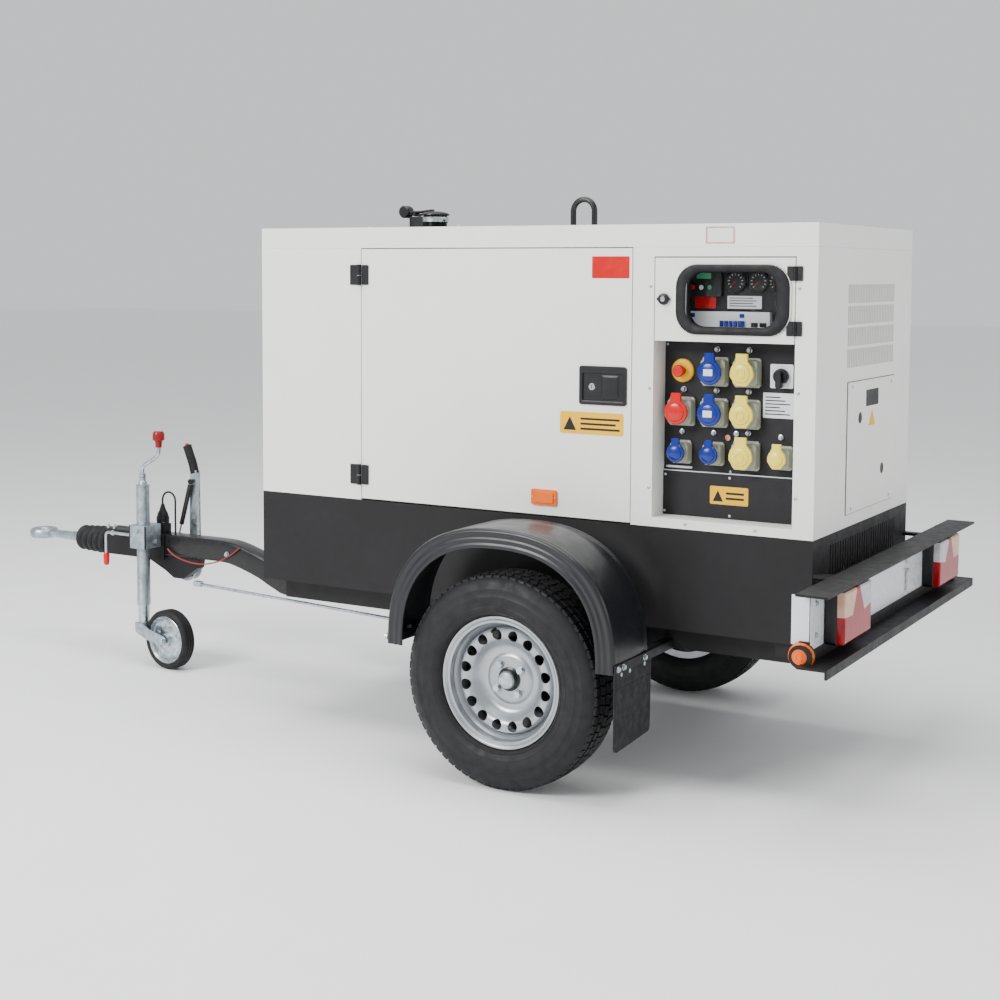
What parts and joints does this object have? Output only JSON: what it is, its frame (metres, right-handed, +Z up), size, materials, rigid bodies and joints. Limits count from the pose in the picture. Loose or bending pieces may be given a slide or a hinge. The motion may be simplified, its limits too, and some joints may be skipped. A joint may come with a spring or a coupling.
{
  "type": "towable diesel generator",
  "caption": "Towable generator: white sound-proofed canopy on a black base, single-axle road trailer with overrun coupling, jockey wheel and rear light bar.",
  "frame": {"origin": "on the ground, under the centre of the overall box (bounding box bottom centre)", "axes": "+X along the trailer from the tow eye to the rear light bar, -Y the side with the control panel, +Z up"},
  "size_m": [3.383, 1.4, 1.6376],
  "materials": {
    "white_paint": "satin",
    "black_paint": "satin",
    "black_plastic": "satin",
    "rubber": "matte",
    "tyre_rubber": "matte",
    "galvanised_steel": "satin",
    "silver_paint": "satin",
    "red_plastic": "gloss",
    "blue_plastic": "gloss",
    "yellow_plastic": "gloss",
    "lens_plastic": "gloss",
    "window_glass": "gloss",
    "cast_iron_paint": "matte",
    "cable_sheath": "matte"
  },
  "bodies": {
    "trailer": {"base_tray": "black_paint", "fuel_tank": "black_plastic", "canopy_shell": "white_paint", "roof_lid": "white_paint", "lifting_eye": "black_paint", "exhaust_outlet": "black_paint", "control_cabinet": "white_paint", "socket_panel": "black_paint", "instrument_panel": "black_paint", "engine_and_alternator": "cast_iron_paint", "radiator": "black_paint", "chassis_frame": "black_paint", "drawbar": "black_paint", "mudguard_near": "black_plastic", "mudguard_far": "black_plastic", "coupling_body": "black_paint", "bellows": "rubber", "light_bar": "black_paint", "lamp_near": "lens_plastic", "lamp_far": "lens_plastic", "parked_plug": "black_plastic", "plug_lead": "cable_sheath", "breakaway_cable": "red_plastic"},
    "arm_near": {"trailing_arm_near": "black_paint"},
    "wheel_near": {"rim_near": "silver_paint", "tyre_near": "tyre_rubber"},
    "side_door_near": {"side_door_near": "white_paint"},
    "handle_near": {"door_handle_near": "black_plastic"},
    "arm_far": {"trailing_arm_far": "black_paint"},
    "wheel_far": {"rim_far": "silver_paint", "tyre_far": "tyre_rubber"},
    "side_door_far": {"side_door_far": "white_paint"},
    "handle_far": {"door_handle_far": "black_plastic"},
    "tow_eye": {"tow_eye": "galvanised_steel"},
    "handbrake": {"handbrake_lever": "galvanised_steel"},
    "strut_rod": {"strut_rod": "galvanised_steel"},
    "strut_cylinder": {"strut_cylinder": "black_paint"},
    "brake_rod": {"brake_rod": "galvanised_steel"},
    "jockey_stem": {"jockey_stem": "galvanised_steel"},
    "jockey_crank": {"jockey_crank": "galvanised_steel"},
    "jockey_inner": {"jockey_inner_tube": "galvanised_steel"},
    "jockey_fork": {"jockey_fork": "galvanised_steel"},
    "jockey_wheel": {"jockey_wheel": "rubber"},
    "clamp_handle": {"clamp_handle": "galvanised_steel"},
    "control_door": {"control_door": "white_paint", "window_pane": "window_glass"},
    "control_lock": {"control_door_lock": "black_plastic"},
    "lid_blue_32a_upper": {"lid_blue_32a_upper": "blue_plastic"},
    "lid_yellow_32a_upper": {"lid_yellow_32a_upper": "yellow_plastic"},
    "lid_red_5pin": {"lid_red_5pin": "red_plastic"},
    "lid_blue_32a_lower": {"lid_blue_32a_lower": "blue_plastic"},
    "lid_yellow_32a_middle": {"lid_yellow_32a_middle": "yellow_plastic"},
    "lid_blue_16a_front": {"lid_blue_16a_front": "blue_plastic"},
    "lid_blue_16a_rear": {"lid_blue_16a_rear": "blue_plastic"},
    "lid_yellow_32a_lower": {"lid_yellow_32a_lower": "yellow_plastic"},
    "lid_yellow_16a": {"lid_yellow_16a": "yellow_plastic"},
    "estop": {"estop_button": "red_plastic"},
    "selector": {"selector_knob": "black_plastic"},
    "exhaust_flap": {"exhaust_flap": "black_paint"},
    "cooling_fan": {"cooling_fan": "black_plastic"}
  },
  "joints": [
    {"name": "suspension_near", "type": "hinge", "parent": "trailer", "child": "arm_near", "pos_m": [0.6195, -0.5, 0.3335], "axis": [0, -1, 0], "range_deg": [-6, 12], "stiffness_Nm_per_rad": 12000, "springref_deg": -2.98},
    {"name": "wheel_spin_near", "type": "hinge", "parent": "arm_near", "child": "wheel_near", "pos_m": [0.7695, -0.608, 0.2975], "axis": [0, 1, 0], "continuous": true},
    {"name": "side_door_hinge_near", "type": "hinge", "parent": "trailer", "child": "side_door_near", "pos_m": [0.1295, -0.423, 1.1], "axis": [0, 0, -1], "range_deg": [0, 110]},
    {"name": "door_handle_pull_near", "type": "hinge", "parent": "side_door_near", "child": "handle_near", "pos_m": [0.9965, -0.418, 1.093], "axis": [0, 0, 1], "range_deg": [0, 35], "stiffness_Nm_per_rad": 0.8},
    {"name": "suspension_far", "type": "hinge", "parent": "trailer", "child": "arm_far", "pos_m": [0.6195, 0.5, 0.3335], "axis": [0, -1, 0], "range_deg": [-6, 12], "stiffness_Nm_per_rad": 12000, "springref_deg": -2.98},
    {"name": "wheel_spin_far", "type": "hinge", "parent": "arm_far", "child": "wheel_far", "pos_m": [0.7695, 0.608, 0.2975], "axis": [0, 1, 0], "continuous": true},
    {"name": "side_door_hinge_far", "type": "hinge", "parent": "trailer", "child": "side_door_far", "pos_m": [0.1295, 0.423, 1.1], "axis": [0, 0, 1], "range_deg": [0, 110]},
    {"name": "door_handle_pull_far", "type": "hinge", "parent": "side_door_far", "child": "handle_far", "pos_m": [0.9965, 0.418, 1.093], "axis": [0, 0, -1], "range_deg": [0, 35], "stiffness_Nm_per_rad": 0.8},
    {"name": "overrun_slide", "type": "slide", "parent": "trailer", "child": "tow_eye", "axis": [1, 0, 0], "range_m": [0, 0.085], "stiffness_N_per_m": 40000, "springref_m": -0.02, "deforming": ["bellows"]},
    {"name": "handbrake_pull", "type": "hinge", "parent": "trailer", "child": "handbrake", "pos_m": [-0.9515, 0.072, 0.334], "axis": [0, -1, 0], "range_deg": [0, 60]},
    {"name": "strut_swing", "type": "hinge", "parent": "trailer", "child": "strut_rod", "pos_m": [-1.0205, 0.051, 0.405], "axis": [0, -1, 0], "range_deg": [-2, 87]},
    {"name": "strut_stroke", "type": "slide", "parent": "strut_rod", "child": "strut_cylinder", "axis": [0.2752, 0, 0.9614], "range_m": [-0.0343, 0.002]},
    {"name": "brake_rod_pull", "type": "slide", "parent": "trailer", "child": "brake_rod", "axis": [0.9993, 0, -0.0376], "range_m": [-0.002, 0.036]},
    {"name": "jockey_stem_slide", "type": "slide", "parent": "trailer", "child": "jockey_stem", "axis": [0, 0, 1], "range_m": [0, 0.03]},
    {"name": "jockey_inner_slide", "type": "slide", "parent": "jockey_stem", "child": "jockey_inner", "axis": [0, 0, 1], "range_m": [-0.001, 0.04]},
    {"name": "jockey_crank_turn", "type": "hinge", "parent": "jockey_stem", "child": "jockey_crank", "pos_m": [-1.0475, -0.095, 0.7], "axis": [0, 0, 1], "range_deg": [-80, 2890]},
    {"name": "jockey_swivel", "type": "hinge", "parent": "jockey_inner", "child": "jockey_fork", "pos_m": [-1.0475, -0.095, 0.12], "axis": [0, 0, 1], "continuous": true},
    {"name": "jockey_wheel_spin", "type": "hinge", "parent": "jockey_fork", "child": "jockey_wheel", "pos_m": [-0.91324, -0.10911, 0.105], "axis": [0.1045, 0.9945, 0], "continuous": true},
    {"name": "clamp_handle_turn", "type": "hinge", "parent": "trailer", "child": "clamp_handle", "pos_m": [-1.16, -0.095, 0.458], "axis": [-1, 0, 0], "range_deg": [0, 160]},
    {"name": "control_door_hinge", "type": "hinge", "parent": "trailer", "child": "control_door", "pos_m": [1.4955, -0.422, 1.34], "axis": [0, 0, 1], "range_deg": [0, 110]},
    {"name": "control_lock_turn", "type": "hinge", "parent": "control_door", "child": "control_lock", "pos_m": [1.1265, -0.41, 1.3375], "axis": [0, 1, 0], "range_deg": [-90, 0]},
    {"name": "lid_blue_32a_upper_hinge", "type": "hinge", "parent": "trailer", "child": "lid_blue_32a_upper", "pos_m": [1.2475, -0.3873, 1.1927], "axis": [-1, 0, 0], "range_deg": [0, 95], "stiffness_Nm_per_rad": 0.05},
    {"name": "lid_yellow_32a_upper_hinge", "type": "hinge", "parent": "trailer", "child": "lid_yellow_32a_upper", "pos_m": [1.3395, -0.3873, 1.1927], "axis": [-1, 0, 0], "range_deg": [0, 95], "stiffness_Nm_per_rad": 0.05},
    {"name": "lid_red_5pin_hinge", "type": "hinge", "parent": "trailer", "child": "lid_red_5pin", "pos_m": [1.1515, -0.3873, 1.0817], "axis": [-1, 0, 0], "range_deg": [0, 95], "stiffness_Nm_per_rad": 0.05},
    {"name": "lid_blue_32a_lower_hinge", "type": "hinge", "parent": "trailer", "child": "lid_blue_32a_lower", "pos_m": [1.2475, -0.3873, 1.0817], "axis": [-1, 0, 0], "range_deg": [0, 95], "stiffness_Nm_per_rad": 0.05},
    {"name": "lid_yellow_32a_middle_hinge", "type": "hinge", "parent": "trailer", "child": "lid_yellow_32a_middle", "pos_m": [1.3395, -0.3873, 1.0817], "axis": [-1, 0, 0], "range_deg": [0, 95], "stiffness_Nm_per_rad": 0.05},
    {"name": "lid_blue_16a_front_hinge", "type": "hinge", "parent": "trailer", "child": "lid_blue_16a_front", "pos_m": [1.1515, -0.3873, 0.9583], "axis": [-1, 0, 0], "range_deg": [0, 95], "stiffness_Nm_per_rad": 0.05},
    {"name": "lid_blue_16a_rear_hinge", "type": "hinge", "parent": "trailer", "child": "lid_blue_16a_rear", "pos_m": [1.2475, -0.3873, 0.9583], "axis": [-1, 0, 0], "range_deg": [0, 95], "stiffness_Nm_per_rad": 0.05},
    {"name": "lid_yellow_32a_lower_hinge", "type": "hinge", "parent": "trailer", "child": "lid_yellow_32a_lower", "pos_m": [1.3395, -0.3873, 0.9707], "axis": [-1, 0, 0], "range_deg": [0, 95], "stiffness_Nm_per_rad": 0.05},
    {"name": "lid_yellow_16a_hinge", "type": "hinge", "parent": "trailer", "child": "lid_yellow_16a", "pos_m": [1.4405, -0.3873, 0.9583], "axis": [-1, 0, 0], "range_deg": [0, 95], "stiffness_Nm_per_rad": 0.05},
    {"name": "estop_press", "type": "slide", "parent": "trailer", "child": "estop", "axis": [0, 1, 0], "range_m": [0, 0.005], "stiffness_N_per_m": 1500},
    {"name": "selector_turn", "type": "hinge", "parent": "trailer", "child": "selector", "pos_m": [1.4345, -0.36, 1.137], "axis": [0, -1, 0], "range_deg": [-60, 60]},
    {"name": "exhaust_flap_hinge", "type": "hinge", "parent": "trailer", "child": "exhaust_flap", "pos_m": [0.0755, 0, 1.5903], "axis": [0, -1, 0], "range_deg": [0, 35]},
    {"name": "fan_spin", "type": "hinge", "parent": "trailer", "child": "cooling_fan", "pos_m": [0.1196, 0, 0.992], "axis": [1, 0, 0], "continuous": true}
  ],
  "couplings": [
    {"joint": "strut_swing", "follows": "handbrake_pull", "ratio": 1.3846},
    {"joint": "strut_stroke", "follows": "handbrake_pull", "m_per_rad": -0.03081},
    {"joint": "brake_rod_pull", "follows": "handbrake_pull", "m_per_rad": 0.032},
    {"joint": "jockey_crank_turn", "follows": "jockey_inner_slide", "rad_per_m": 1256.6}
  ]
}
